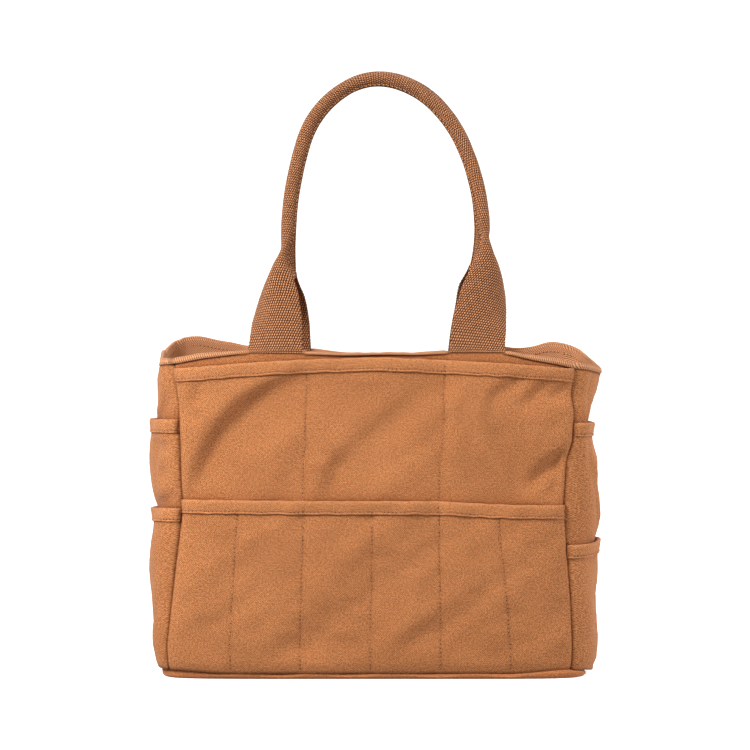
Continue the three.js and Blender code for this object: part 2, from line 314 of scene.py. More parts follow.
# The lines of stitching that divide them, as (s at the top, s at the foot).
DIVIDERS = {
    "upper": ([(-58, -64), (61, 58)], [], [(-60, -62), (60, 61)], []),
    "lower": (
        [(-123, -121), (-63, -62.5), (-1.5, -2.5), (58, 58.5), (111.5, 120)], [],
        [(-116, -118), (-60, -61), (0, 0.5), (60, 61), (116, 118)], [],
    ),
}

# The height of each mouth along its side.
MOUTH_SHAPES = {
    key: smooth_curve(knots, 12)
    for key, knots in {
        (FRONT, "upper"): [(-172, 266.3), (-107, 271.6), (-60, 274.2), (5, 276.3), (62, 273.6), (113, 271),
                           (172, 266.2)],
        (FRONT, "lower"): [(-172, 153.5), (-63, 152.6), (58, 152.6), (114, 149.4), (172, 148.5)],
        (BACK, "upper"): [(-172, 268), (-100, 273), (0, 277), (100, 273), (172, 269)],
        (BACK, "lower"): [(-172, 151), (0, 152), (172, 153)],
        (RIGHT, "upper"): [(-64, 219.5), (0, 219), (64, 222)],
        (RIGHT, "lower"): [(-64, 114), (0, 117), (64, 115)],
        (LEFT, "upper"): [(-64, 223), (0, 222), (64, 222.5)],
        (LEFT, "lower"): [(-64, 144), (0, 143.5), (64, 146)],
    }.items()
}


def divider_line(side, tier, divider, z, high):
    """Where a line of dividing stitches is, at a height."""
    top, foot = divider
    low = FEET[tier][side]
    return foot + (top - foot) * (z - low) / (high - low)


def new_object(name, verts, faces, material=None):
    """A smooth mesh object, from points in metres."""
    mesh = bpy.data.meshes.new(name)
    mesh.from_pydata(np.asarray(verts, float).tolist(), [], faces)
    if material:
        mesh.materials.append(material)
    mesh.shade_smooth()
    obj = bpy.data.objects.new(name, mesh)
    bpy.context.scene.collection.objects.link(obj)
    return obj


def grid_faces(rows, columns, offset=0, flip=False, wrap=False):
    index = np.arange(rows * columns).reshape(rows, columns) + offset
    if wrap:
        index = np.concatenate([index, index[:, :1]], 1)
    quads = np.stack([index[:-1, :-1], index[:-1, 1:], index[1:, 1:], index[1:, :-1]], -1).reshape(-1, 4)
    return quads[:, ::-1] if flip else quads


SETTLING_FRAMES = 30
WRINKLE = 1.7  # the deepest simulated wrinkle


def simulated_wall(side):
    """The wrinkles that a side's cloth falls into, as a function of s and z: a sheet a little larger than its
    frame of seams is pinned along them and left to settle under its own weight."""
    pitch = 8
    half = float(half_length(side, RIM / 2))
    columns = int(2 * half / pitch) + 1
    rows = int((RIM - FOOT) / pitch) + 1
    s, z = np.meshgrid(np.linspace(-half, half, columns), np.linspace(FOOT, RIM, rows))
    start = 0.6 * (wave(11 + side, 4, 40, 110)(s + 0.5 * z) + wave(31 + side, 4, 30, 90)(z - 0.7 * s))
    verts = np.stack([s, start, z], -1).reshape(-1, 3) * MM
    obj = new_object("wall_cloth", verts, grid_faces(rows, columns).tolist())

    held = (np.abs(s) > half - 1) | (z < FOOT + 1)
    if side in (FRONT, BACK):
        held |= (z > RIM - 1) & (np.abs(np.abs(s) - HANDLE_X) < 26)
    for tier in TIERS:
        low, high = FEET[tier][side], MOUTHS[tier][side]
        held |= (np.abs(z - high) < pitch / 2) & (np.abs(s) > half - pitch * 1.5)
        for divider in DIVIDERS[tier][side]:
            line = divider_line(side, tier, divider, np.clip(z, low, high), high)
            sewn = (np.abs(s - line) < pitch / 2) & (np.round(z / pitch) % 2 == 0)
            held |= sewn & (z > low) & (z < high - 20)
    group = obj.vertex_groups.new(name="held")
    group.add(np.flatnonzero(held.ravel()).tolist(), 1.0, "REPLACE")

    cloth = obj.modifiers.new("cloth", "CLOTH")
    settings = cloth.settings
    settings.quality = 6
    settings.mass = 0.4
    settings.tension_stiffness = settings.compression_stiffness = 40
    settings.shear_stiffness = 20
    settings.bending_stiffness = 6
    settings.vertex_group_mass = "held"
    settings.shrink_min = -0.012
    cloth.collision_settings.use_collision = False
    cloth.point_cache.frame_start, cloth.point_cache.frame_end = 1, SETTLING_FRAMES
    for number in range(1, SETTLING_FRAMES + 1):
        bpy.context.scene.frame_set(number)
    settled = obj.evaluated_get(bpy.context.evaluated_depsgraph_get()).to_mesh()
    found = np.zeros(len(settled.vertices) * 3)
    settled.vertices.foreach_get("co", found)
    depth = -found.reshape(rows, columns, 3)[..., 1] / MM
    depth = WRINKLE * np.tanh(depth / 3)
    mesh = obj.data
    bpy.data.objects.remove(obj)
    bpy.data.meshes.remove(mesh)
    bpy.context.scene.frame_set(1)

    def sampled(s, z):
        c = np.clip((s + half) / (2 * half) * (columns - 1), 0, columns - 1.001)
        r = np.clip((z - FOOT) / (RIM - FOOT) * (rows - 1), 0, rows - 1.001)
        c0, r0 = c.astype(int), r.astype(int)
        # Smooth steps between the grid's points keep its facets from showing.
        fc, fr = ease(c - c0, 0, 1), ease(r - r0, 0, 1)
        low = depth[r0, c0] * (1 - fc) + depth[r0, c0 + 1] * fc
        high = depth[r0 + 1, c0] * (1 - fc) + depth[r0 + 1, c0 + 1] * fc
        return low * (1 - fr) + high * fr

    return sampled


WRINKLES = [simulated_wall(side) for side in range(4)]


def drape(side, s, z):
    """How far the wall's cloth stands out of the plan at a point."""
    half = half_length(side, z)
    share = np.clip((s + half) / (2 * half), 0, 1)
    inside = ease(half - np.abs(s), 0, 9)
    total = sum(fold(s, z, *one) for one in FOLDS[side]) + WRINKLES[side](s, z)
    total = total * inside * ease(z, FOOT, FOOT + 22) - 1.0 * bell(half - np.abs(s), 1.7)
    if side in BELLIES:
        total = total + BELLIES[side](z) * np.sin(np.pi * share) ** 0.8
    else:
        # Between the handles and beside them the rim is held straight by the sewn webbing.
        total = total * (1 - 0.85 * ease(z, RIM - 32, RIM - 6))
    # The walls turn in to the seam that joins them to the base.
    return total - 1.8 * (1 - ease(z, FOOT - 3, FOOT + 6))


def wall(side, s, z, out):
    """Points on the wall, out millimetres outward from the draped cloth's inner face."""
    s, z, out = np.broadcast_arrays(np.asarray(s, float), np.asarray(z, float), np.asarray(out, float))
    x, y, nx, ny = plan(side, s, z)
    away = drape(side, s, z) + out
    half = half_length(side, z)
    share = np.clip((s + half) / (2 * half), 0, 1)
    x, y = x + nx * away, y + ny * away
    for corner, weight in ((side, (1 - share) ** 3), ((side + 1) % 4, share**3)):
        drawn = CORNERS[corner](z) * weight
        x = x + TOWARD_MIDDLE[corner][0] * drawn
        y = y + TOWARD_MIDDLE[corner][1] * 0.35 * drawn
    return np.stack([x, y, z], -1)


def rim_height(side, s):
    half = half_length(side, RIM)
    return RIMS[side](np.clip((s + half) / (2 * half), 0, 1))


# ---------------------------------------------------------------- the layers

# How far each side pocket stands open at the middle of its mouth.
OPEN = {(LEFT, "upper"): 5.4, (LEFT, "lower"): 6.0, (RIGHT, "upper"): 4.8, (RIGHT, "lower"): 3.4}
UPPER_OUT = CANVAS + GAP
LOWER_OUT = 2 * (CANVAS + GAP)


def foot_height(side, s):
    """The height of the seam with the base, which sags along the middle of the front, back and right."""
    share = s / half_length(side, 0)
    if side == RIGHT:
        return FOOT - 5 * bell(share + 0.3, 0.6)
    return FOOT - 2.6 * (1 - ease(np.abs(share), 0.7, 1)) * (side != LEFT)


def puff(side, tier, s, z):
    """How far a pocket's sheet stands off what is behind it."""
    mouth = MOUTH_SHAPES[side, tier](s)
    low = FEET[tier][side]
    if (side, tier) in OPEN:
        half = half_length(side, z)
        foot = low + (4 if tier == "upper" else 34)
        bow = np.sqrt(np.clip(1 - (s / half) ** 2, 0, 1)) * (0.9 + 0.1 * np.cos(s / 9))
        return 0.2 + OPEN[side, tier] * bow * ease(z, foot, mouth - 15)
    inside = np.clip(z, low, mouth)
    lines = [divider_line(side, tier, divider, inside, mouth) for divider in DIVIDERS[tier][side]]
    lines += [-SEAM + 0 * inside, SEAM + 0 * inside]
    nearest = np.min([np.abs(s - line) for line in lines], axis=0)
    fullness = 1.5 if tier == "lower" else 0.9
    return 0.15 + fullness * ease(nearest, 0.4, 22) ** 0.6 * (0.45 + 0.55 * ease(z, low, mouth - 25))


def sheet_out(side, layer, s, z):
    """The inner face of a layer of cloth: the panel, or the pocket sheet of a tier."""
    if layer == "panel":
        return 0 * s * z
    foot = FEET["upper"][side]
    upper = UPPER_OUT + puff(side, "upper", s, z) * ease(z, foot - 30, foot + 10)
    if layer == "upper":
        return upper
    return np.maximum(upper + CANVAS + GAP, LOWER_OUT) + puff(side, "lower", s, z)


def link(name, verts, faces, material, slot, uvs=None, body="bag", sharp=40, painted_light_and_wear=None):
    """Makes a piece from points in millimetres. uvs hold each point's place on its flat cut, in metres, and
    painted_light_and_wear holds how much lighter or darker its cloth is painted, as painted light and shade
    with a little wear."""
    obj = new_object(name, np.reshape(verts, (-1, 3)) * MM, np.asarray(faces).tolist(), material)
    mesh = obj.data
    if sharp:
        mesh.set_sharp_from_angle(angle=math.radians(sharp))
    if uvs is not None:
        layer = mesh.uv_layers.new(name="cut")
        corners = np.zeros(len(mesh.loops), int)
        mesh.loops.foreach_get("vertex_index", corners)
        layer.data.foreach_set("uv", np.asarray(uvs, float).reshape(-1, 2)[corners].ravel())
    # Painted light and shade, with a little wear, that the canvas multiplies its colour by.
    if painted_light_and_wear is not None:
        values = mesh.attributes.new("painted_light_and_wear", "FLOAT", "POINT")
        values.data.foreach_set("value", np.asarray(painted_light_and_wear, np.float32).ravel())
    mesh.validate()
    if body:
        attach(obj, body)
    return obj


def slab(name, outer, inner, uv, material, slot, painted_light_and_wear=None, **more):
    """Closed cloth between two grids of points with the same layout, its cut edges rounded."""
    rows, columns, _ = outer.shape
    count = rows * columns
    loop = np.concatenate([np.arange(columns), np.arange(1, rows) * columns + columns - 1,
                           (rows - 1) * columns + np.arange(columns - 2, -1, -1),
                           np.arange(rows - 2, 0, -1) * columns])
    r, c = loop // columns, loop % columns
    r_in, c_in = np.clip(r, 1, rows - 2), np.clip(c, 1, columns - 2)
    away = outer[r, c] - outer[r_in, c_in]
    away /= np.maximum(np.linalg.norm(away, axis=1, keepdims=True), 1e-6)
    middle = (outer[r, c] + inner[r, c]) / 2
    thick = np.linalg.norm(outer[r, c] - inner[r, c], axis=1, keepdims=True)
    edge = middle + away * thick * 0.4
    verts = np.concatenate([outer.reshape(-1, 3), inner.reshape(-1, 3), edge])
    ring = np.arange(len(loop)) + 2 * count
    after = np.roll(np.arange(len(loop)), -1)
    faces = np.concatenate([
        grid_faces(rows, columns),
        grid_faces(rows, columns, count, flip=True),
        np.stack([loop[after], loop, ring, ring[after]], -1),
        np.stack([ring[after], ring, loop + count, loop[after] + count], -1),
    ])
    flat = uv.reshape(-1, 2)
    uvs = np.concatenate([flat, flat + (0.37, 0.11), flat[loop]])
    if painted_light_and_wear is not None:
        painted_light_and_wear = np.concatenate([painted_light_and_wear.ravel(), painted_light_and_wear.ravel(), painted_light_and_wear.ravel()[loop]])
    return link(name, verts, faces, material, slot, uvs, sharp=65, painted_light_and_wear=painted_light_and_wear, **more)


def side_grid(side, low, high):
    """s and z over a side between two heights that vary along it, in rows and columns that are closer
    together beside the seams and below the upper edge."""
    pitch, trim = 2.5, 0.2
    half = float(half_length(side, RIM * 0.6))
    near = np.array([0.5, 1.0, 1.7]) / half
    f = np.linspace(-1 + 2.6 / half, 1 - 2.6 / half, int(2 * half / pitch) + 1)
    f = np.concatenate([[-1], near - 1, f, 1 - near[::-1], [1]])
    tall = np.max(high(f * half)) - np.min(low(f * half))
    v = np.linspace(0, 1 - 3.2 / tall, int(tall / pitch) + 1)
    v = np.concatenate([v, 1 - np.array([2.5, 1.9, 1.3, 0.7, 0]) / tall])[:, None]
    z = low(f * half)[None, :] * (1 - v) + high(f * half)[None, :] * v
    s = f[None, :] * (half_length(side, z) - trim)
    return s, z


# ---------------------------------------------------------------- materials


def new_material(name):
    """A material with an empty node tree, and the net that fills it."""
    material = bpy.data.materials.new(name)
    material.use_nodes = True
    material.node_tree.nodes.clear()
    return material, Net(material.node_tree)


class Net:
    """Short names for building a node tree."""

    def __init__(self, tree):
        self.tree = tree

    def put(self, kind, inputs=None, **settings):
        node = self.tree.nodes.new(kind)
        for key, value in settings.items():
            setattr(node, key, value)
        for key, value in (inputs or {}).items():
            if isinstance(value, bpy.types.NodeSocket):
                self.tree.links.new(value, node.inputs[key])
            else:
                node.inputs[key].default_value = value
        return node

    def math(self, operation, *values):
        return self.put("ShaderNodeMath", dict(enumerate(values)), operation=operation).outputs[0]

    def times(self, a, b):
        return self.math("MULTIPLY", a, b)

    def plus(self, first, *others):
        for other in others:
            first = self.math("ADD", first, other)
        return first

    def noise(self, vector, scale, detail=2.0, roughness=0.5, distortion=0.0):
        inputs = {"Vector": vector, "Scale": scale, "Detail": detail, "Roughness": roughness,
                  "Distortion": distortion}
        return self.put("ShaderNodeTexNoise", inputs).outputs["Fac"]

    def span(self, value, low, high, to_low=0.0, to_high=1.0):
        inputs = {"Value": value, "From Min": low, "From Max": high, "To Min": to_low, "To Max": to_high}
        return self.put("ShaderNodeMapRange", inputs, interpolation_type="SMOOTHSTEP").outputs[0]

    def mix(self, share, a, b, blend="MIX"):
        inputs = {0: share, 6: a, 7: b}
        return self.put("ShaderNodeMix", inputs, data_type="RGBA", blend_type=blend).outputs[2]

    def scaled(self, vector, x, y, z):
        return self.put("ShaderNodeMapping", {"Vector": vector, "Scale": (x, y, z)}).outputs[0]

    def cut(self):
        """The place on the flat cut, in metres."""
        return self.put("ShaderNodeUVMap", uv_map="cut").outputs[0]

    def split(self, vector):
        return self.put("ShaderNodeSeparateXYZ", {0: vector}).outputs[:2]

    def stray(self, vector, scale, size):
        """A smooth random shift of up to about half the size either way."""
        return self.times(self.math("SUBTRACT", self.noise(vector, scale, 2), 0.5), size)


def rgb(red, green, blue):
    """An sRGB colour in 0 to 255 as linear RGBA."""
    shares = (red / 255, green / 255, blue / 255)
    linear = [c / 12.92 if c <= 0.04 else ((c + 0.055) / 1.055) ** 2.4 for c in shares]
    return (*linear, 1.0)


def finish_surface(net, colour, height, roughness, bump_mm, strength=1.0):
    bump = net.put("ShaderNodeBump", {"Height": height, "Distance": bump_mm * MM, "Strength": strength})
    surface = net.put("ShaderNodeBsdfPrincipled", {
        "Base Color": colour, "Roughness": roughness, "Normal": bump.outputs[0], "Specular IOR Level": 0.18,
        "Sheen Weight": 0.12, "Sheen Roughness": 0.6, "Sheen Tint": (1, 0.85, 0.7, 1)})
    net.put("ShaderNodeOutputMaterial", {"Surface": surface.outputs[0]})


TURN = 2 * math.pi
WEAVE = 2.0  # the pitch of the canvas's coarse weave


def canvas_material(name, tone=(223, 150, 97), depth=(148, 85, 40), from_cut=True):
    """Brushed cotton canvas: a fine uneven weave with pilled grain, slubs both ways and patchy dye, lightened
    and darkened by each piece's painted light and shade.
    """
    material, net = new_material(name)
    flat = net.cut() if from_cut else net.put("ShaderNodeTexCoord").outputs["Object"]
    pebble = net.noise(flat, 740, 2, 0.7)
    fine = net.noise(flat, 1300, 2, 0.6)
    weft = net.noise(net.scaled(flat, 300, 900, 300), 1, 2, 0.6)
    warp = net.noise(net.scaled(flat, 900, 300, 300), 1, 2, 0.6)
    over, under = (net.math("SINE", net.times(way, TURN / (WEAVE * MM))) for way in net.split(flat))
    weave = net.times(net.times(over, under), net.span(net.noise(flat, 300, 2), 0.35, 0.65))
    rough = net.plus(net.times(pebble, 0.64), net.times(net.plus(weft, warp), 0.18))
    grain = net.plus(net.times(rough, 0.72), net.times(fine, 0.28), net.times(weave, 0.11))
    colour = net.mix(net.span(grain, 0.37, 0.63), rgb(*depth), rgb(*tone))

    patch = net.span(net.noise(flat, 9, 3, 0.55), 0.3, 0.7, 0.95, 1.045)
    cloud = net.span(net.noise(flat, 46, 3, 0.6, 0.4), 0.3, 0.7, 0.965, 1.03)
    # Each piece's painted light and shade, with a little wear.
    painted_light_and_wear = net.put("ShaderNodeAttribute", attribute_name="painted_light_and_wear").outputs["Fac"]
    light = net.times(net.times(patch, cloud), net.plus(1.0, painted_light_and_wear))
    # Darker places, painted shade among them, stay warm.
    red, blue = net.math("POWER", light, 0.8), net.math("POWER", light, 1.25)
    tint = net.put("ShaderNodeCombineXYZ", {0: red, 1: light, 2: blue}).outputs[0]
    colour = net.mix(1.0, colour, tint, "MULTIPLY")
    height = net.plus(grain, net.times(weave, 0.06))
    finish_surface(net, colour, height, net.span(grain, 0.3, 0.7, 0.95, 0.82), 0.34, 0.75)
    return material


def tape_material(name, tone, depth):
    """Twill tape: diagonal ribs that turn back at the tape's middle, so that they make a herringbone."""
    material, net = new_material(name)
    flat = net.cut()
    along, across = net.split(flat)
    folded = net.math("PINGPONG", across, 12 * MM)
    slant = net.plus(along, folded, net.stray(flat, 260, 0.7 * MM))
    rib = net.math("SINE", net.times(slant, TURN / (1.85 * MM)))
    picks = net.math("SINE", net.times(across, TURN / (0.9 * MM)))
    height = net.plus(net.times(rib, 0.4), net.times(picks, 0.15))
    speckle = net.span(net.noise(flat, 900, 2, 0.6), 0.3, 0.7, 0.75, 1.0)
    colour = net.mix(net.times(net.span(height, -0.5, 0.4), speckle), rgb(*depth), rgb(*tone))
    finish_surface(net, colour, height, 0.9, 0.3, 0.8)
    return material


def webbing_material(name, tone, depth):
    """Coarse webbing: plump slanting picks set like bricks, with dark gaps between them."""
    material, net = new_material(name)
    flat = net.cut()
    x, y = net.split(flat)
    stray = net.stray(flat, 150, 0.9 * MM)
    column = net.times(net.plus(x, stray), TURN / (2.15 * MM))
    row = net.times(y, TURN / (2.2 * MM))
    half_row = net.times(row, 0.5)
    slant = net.math("COSINE", net.math("SUBTRACT", column, half_row))
    breaks = net.math("COSINE", row)
    counter = net.math("COSINE", net.plus(column, half_row))
    lumps = net.plus(net.times(slant, 0.5), net.times(breaks, 0.34), net.times(counter, 0.26))
    pick = net.span(lumps, -0.42, 0.62)
    strands = net.noise(net.scaled(flat, 900, 2600, 900), 1, 2, 0.6)
    uneven = net.span(net.noise(flat, 330, 2, 0.6), 0.25, 0.75, 0.72, 1.06)
    colour = net.mix(net.times(net.math("POWER", pick, 0.85), uneven), rgb(*depth), rgb(*tone))
    colour = net.mix(net.span(strands, 0.35, 0.7, 0.16, 0.0), colour, rgb(*depth))
    finish_surface(net, colour, net.plus(pick, net.times(strands, 0.22)), 0.86, 0.6, 0.8)
    return material


def plain_material(name, tone, depth, scale, bump=0.2, roughness=0.8):
    material, net = new_material(name)
    grain = net.noise(net.put("ShaderNodeTexCoord").outputs["Object"], scale, 3, 0.6)
    colour = net.mix(net.span(grain, 0.3, 0.7), rgb(*depth), rgb(*tone))
    finish_surface(net, colour, grain, roughness, bump)
    return material


CANVAS_LOOK = canvas_material("tan_canvas")
BINDING_LOOK = canvas_material("tan_canvas_binding", tone=(224, 151, 98), depth=(156, 94, 50))
TAPE_LOOK = tape_material("twill_tape", (238, 174, 128), (148, 90, 54))
WEBBING_LOOK = webbing_material("handle_webbing", (244, 170, 116), (72, 28, 10))
THREAD_LOOK = plain_material("thread", (214, 150, 104), (176, 112, 68), 2200, 0.1)
# Dark brown needle holes, painted as the holes and the shade in them.
HOLE_AND_SHADE_LOOK = plain_material("needle_holes_and_shade", (96, 50, 24), (74, 38, 16), 900, 0.1, 0.95)
CORE_LOOK = plain_material("cotton_rope", (214, 200, 176), (170, 152, 122), 900)
BOARD_LOOK = plain_material("base_board", (150, 130, 105), (118, 98, 74), 240)


# ---------------------------------------------------------------- panels and pockets


def tucked(side, s):
    """1 where the tape is drawn in behind a sewn handle end, 0 away from them."""
    if side not in (FRONT, BACK):
        return 0 * s
    shift = SEWN_SHIFT["front"] if side == FRONT else -SEWN_SHIFT["back"]
    return ease(WEBBING_HALF + 3 - np.abs(np.abs(s - shift) - HANDLE_X), 0, 4)


def painted_shade_and_wear(side, s, z):
    """How much lighter or darker the cloth is painted: a little lighter beside the corner seams, and painted
    shade in the seams' creases, along the foot and toward the bottom, under the rim tape's lip, over the
    whole left gusset, along the dividing stitching, and above and below each binding."""
    from_seam = half_length(side, z) - np.abs(s)
    from_rim = rim_height(side, s) - z
    # A little lighter beside each corner seam, and painted shade in the seam's crease.
    total = 0.04 * bell(from_seam - 5, 3) - 0.55 * bell(from_seam, 0.75)
    # Painted shadow along the seam with the base, and painted shade growing toward the bottom.
    total = total - 0.35 * bell(z - foot_height(side, s), 1.6) - 0.07 * bell(z - FOOT, 36)
    # Painted shadow under the rim tape's lip, and the whole left gusset painted a little darker as shade.
    total = total - 0.8 * bell(from_rim - 1.2 * (1 - tucked(side, s)), 0.9) - 0.07 * (side == LEFT)
    for tier in TIERS:
        low, high = FEET[tier][side], MOUTH_SHAPES[side, tier](s)
        below, above = high - BINDING_DROP - z, z - high - 0.8
        # Painted shadow under the binding's bead.
        total = total - 0.65 * bell(below, 0.9) * (below > -2)
        for divider in DIVIDERS[tier][side]:
            line = divider_line(side, tier, divider, z, high)
            # Painted shade in the valley along each row of dividing stitches.
            total = total - 0.13 * bell(s - line, 1.5) * (z > low) * (z < high - 10)
        # Painted shadow on the cloth just above the binding, a little uneven along it.
        shade = 0.2 + 0.06 * wave(70 + side, 4, 30, 90)(s)
        total = total - (0.4 * bell(above, 1.3) + shade * bell(above, 8)) * (above > -1)
    return total


def add_sheet(side, layer):
    """A panel or a pocket's sheet."""
    if layer == "panel":
        node = f"{NAMES[side]}_panel" if side in (FRONT, BACK) else f"{NAMES[side]}_gusset"
        s, z = side_grid(side, lambda s: foot_height(side, s), lambda s: rim_height(side, s))
    else:
        node = f"{NAMES[side]}_{layer}_pocket"
        s, z = side_grid(side, lambda s: foot_height(side, s), MOUTH_SHAPES[side, layer])
    out = sheet_out(side, layer, s, z)
    uv = np.stack([s * MM + 0.5 * side, z * MM], -1)
    outer, inner = wall(side, s, z, out + CANVAS), wall(side, s, z, out)
    # Painted shade and highlights, with a little wear.
    painted_light_and_wear = painted_shade_and_wear(side, s, z)
    obj = slab(f"{node}_cloth", outer, inner, uv, CANVAS_LOOK, "canvas", painted_light_and_wear=painted_light_and_wear)
    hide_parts(node)


# The binding's section, x outward from the sheet's inner face and y up from its mouth, starting at the foot
# of its outer leg. A bead of folded edge hangs below the row of stitching.
BINDING_SECTION = np.array([(0.35, -12.2), (0.75, -12.55), (1.35, -12.35), (1.72, -11.8), (1.66, -11.1),
                            (1.2, -10.5), (0.98, -10.1), (1.2, -9.6), (1.42, -8.6), (1.5, -6), (1.5, -3.2),
                            (1.45, -1.2), (1.2, 0.2), (0.6, 1.1), (-0.2, 1.35), (-0.75, 1.1), (-1.15, 0.2),
                            (-1.3, -1.2), (-1.3, -8), (-1.1, -10.2), (-1.35, -11.6), (-1.0, -12.2),
                            (-0.5, -12), (-0.35, -10), (-0.35, -0.6), (-0.1, 0.3), (0.3, 0.3), (0.4, -0.6),
                            (0.4, -10)]) * (1, 0.85)


def add_binding(side, tier):
    """The folded strip over a pocket's mouth, swept along it."""
    half = float(half_length(side, MOUTH_SHAPES[side, tier](0)))
    count = int(2 * half / (STITCH / 2)) + 1
    s = np.linspace(-half + 0.15, half - 0.15, count)[:, None]
    section = BINDING_SECTION.copy()
    section[:, 0] += np.where(section[:, 0] > 0.25, CANVAS - 0.1, 0)
    o, h = section[:, 0][None, :], section[:, 1][None, :]
    outside = o > 1
    ripple = wave(5 * side + len(tier), 5, 14, 46)(s)
    sag = wave(7 * side + len(tier), 4, 9, 30)(s + 40)
    pucker = np.where(np.arange(count) % 2, 0.16, -0.1)[:, None] * bell(h + 9, 1.5) * outside
    mouth = MOUTH_SHAPES[side, tier](s)
    z = mouth + h + 0.16 * ripple * (h < -7.6) + 0.2 * sag
    base = sheet_out(side, tier, s + 0 * h, np.minimum(z, mouth))
    out = base + o + pucker + 0.22 * ripple * bell(h + 6, 4) * outside
    uvs = np.stack([s * MM + 0.13 + 0 * h, walked(section) * MM + 0.4 + 0.17 * side + 0 * s], -1)
    # Painted highlights along the bead's upper side and the top fold, painted shade along the row of
    # stitching and at the ends beside the corner seams.
    painted_light_and_wear = 0.1 * bell(h + 9.9, 0.8) * outside - 0.2 * bell(h + STITCH_DROP, 0.6) * outside
    painted_light_and_wear = painted_light_and_wear + 0.08 * bell(h + 0.3, 1.4) - 0.45 * bell(half - np.abs(s), 1.0)
    faces = grid_faces(count, len(section), wrap=True, flip=True)
    name = f"{NAMES[side]}_{tier}_pocket_binding"
    points = wall(side, s + 0 * h, z, out)
    obj = link(f"{name}_strip", points, faces, BINDING_LOOK, "canvas", uvs, sharp=None, painted_light_and_wear=painted_light_and_wear)
    close_ends(obj, len(section), count)
    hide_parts(name)


def outward(obj, caps=()):
    """Adds a many-sided face through each of the rings of points in caps, and turns every face outward."""
    work = bmesh.new()
    work.from_mesh(obj.data)
    if caps:
        work.verts.ensure_lookup_table()
        for cap in caps:
            work.faces.new([work.verts[i] for i in cap])
        bmesh.ops.triangulate(work, faces=[f for f in work.faces if len(f.verts) > 4])
    bmesh.ops.recalc_face_normals(work, faces=work.faces)
    work.to_mesh(obj.data)
    work.free()


def close_ends(obj, across, along):
    """Closes a swept piece's two ends."""
    outward(obj, [range(across), range(across * along - 1, across * (along - 1) - 1, -1)])


for side in range(4):
    for layer in ("panel", *TIERS):
        add_sheet(side, layer)
    for tier in TIERS:
        add_binding(side, tier)


# ---------------------------------------------------------------- rim tape and seam tapes


def tape_stand(side, s):
    """How far the sewn handle ends hold the tape off the panel."""
    if side not in (FRONT, BACK):
        return 0 * s
    return (WEBBING + 0.5) * ease(WEBBING_HALF + 9 - np.abs(np.abs(s) - HANDLE_X), 0, 8)


def tape_lip(side, s):
    """How far the tape's rolled edge stands above the panel's cut edge: more at corners, less by handles."""
    share = s / half_length(side, RIM)
    uneven = wave(40 + side, 4, 12, 40)(s)
    if side in (FRONT, BACK):
        corner = ease(np.abs(share), 0.55, 0.98)
        return (0.3 + 2.9 * corner + 0.25 * uneven) * (1 - tucked(side, s)) - 1.2 * tucked(side, s)
    # On the left the tape has turned out and shows its face.
    return 3.2 + 8 * bell(share, 0.45) * (side == LEFT) + 0.3 * uneven


# The rim tape's section, x inward from the panel's inner face and y up from the rim. Its upper edge is rolled
# out over the panel's cut edge.
RIM_TAPE_SECTION = np.array([
    (0.2, -24), (0.2, -12), (0.2, -2), (0.15, 0.3), (-0.5, 0.45), (-1.35, 0.35), (-1.45, -0.2), (-1.75, -0.5),
    (-2.1, -0.3), (-2.2, 0.3), (-1.95, 1.0), (-1.1, 1.5), (0.1, 1.6), (0.95, 1.2), (1.35, 0.3), (1.35, -1),
    (1.3, -5), (1.3, -12), (1.3, -19), (1.35, -22.6), (1.25, -24), (0.7, -24.3),
])


def add_rim_tape():
    depth, height = RIM_TAPE_SECTION.T
    rolled_out = np.where(depth < 0.2, 0.2 - depth, 0)
    lifted = ease(height, 0.0, 1.0)
    rings, uvs, run = [], [], 0.0
    for side in range(4):
        half = float(half_length(side, RIM))
        for s in np.linspace(-half, half, int(2 * half / 2.2), endpoint=False):
            inward = depth + rolled_out * tucked(side, s) + tape_stand(side, s)
            inward = inward + 0.35 * wave(50, 4, 16, 50)(run + s) * bell(height + 14, 8)
            z = rim_height(side, s) + height + tape_lip(side, s) * lifted
            rings.append(wall(side, s + 0 * height, z, -inward))
            uvs.append(np.stack([0 * depth + (run + s + half) * MM, walked(RIM_TAPE_SECTION) * MM], -1))
        run += 2 * half
    index = np.arange(len(rings) * len(depth)).reshape(len(rings), -1)
    after, up = np.roll(index, -1, 0), np.roll(index, -1, 1)
    faces = np.stack([index, after, np.roll(after, -1, 1), up], -1).reshape(-1, 4)
    obj = link("rim_tape_roll", rings, faces, TAPE_LOOK, "twill_tape", uvs, sharp=None)
    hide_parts("rim_tape")
    outward(obj)


add_rim_tape()


def add_seam_tape(side):
    """The tape inside the bag over the corner seam at a side's right end, half on each of the two sides."""
    following = (side + 1) % 4
    z = np.linspace(FOOT + 2, RIM - 40, 90)[:, None]
    reach = np.linspace(-6.5, 6.5, 13)[None, :]
    z, reach = np.broadcast_arrays(z, reach)
    here = half_length(side, z) + np.minimum(reach, 0)
    beyond = np.maximum(reach, 0) - half_length(following, z)
    first_half = (reach < 0)[..., None]
    face = np.where(first_half, wall(side, here, z, 0), wall(following, beyond, z, 0))
    places = (side, here, z), (following, beyond, z)
    n = np.where(first_half, *[np.stack([*plan(*place)[2:], 0 * z], -1) for place in places])
    uv = np.stack([z * MM, reach * MM + 0.1], -1)
    name = f"{NAMES[side]}_{NAMES[following]}_seam_tape"
    obj = slab(f"{name}_strip", face - n * 0.3, face - n * 1.3, uv, TAPE_LOOK, "twill_tape")
    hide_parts(name)


for side in range(4):
    add_seam_tape(side)


# ---------------------------------------------------------------- base

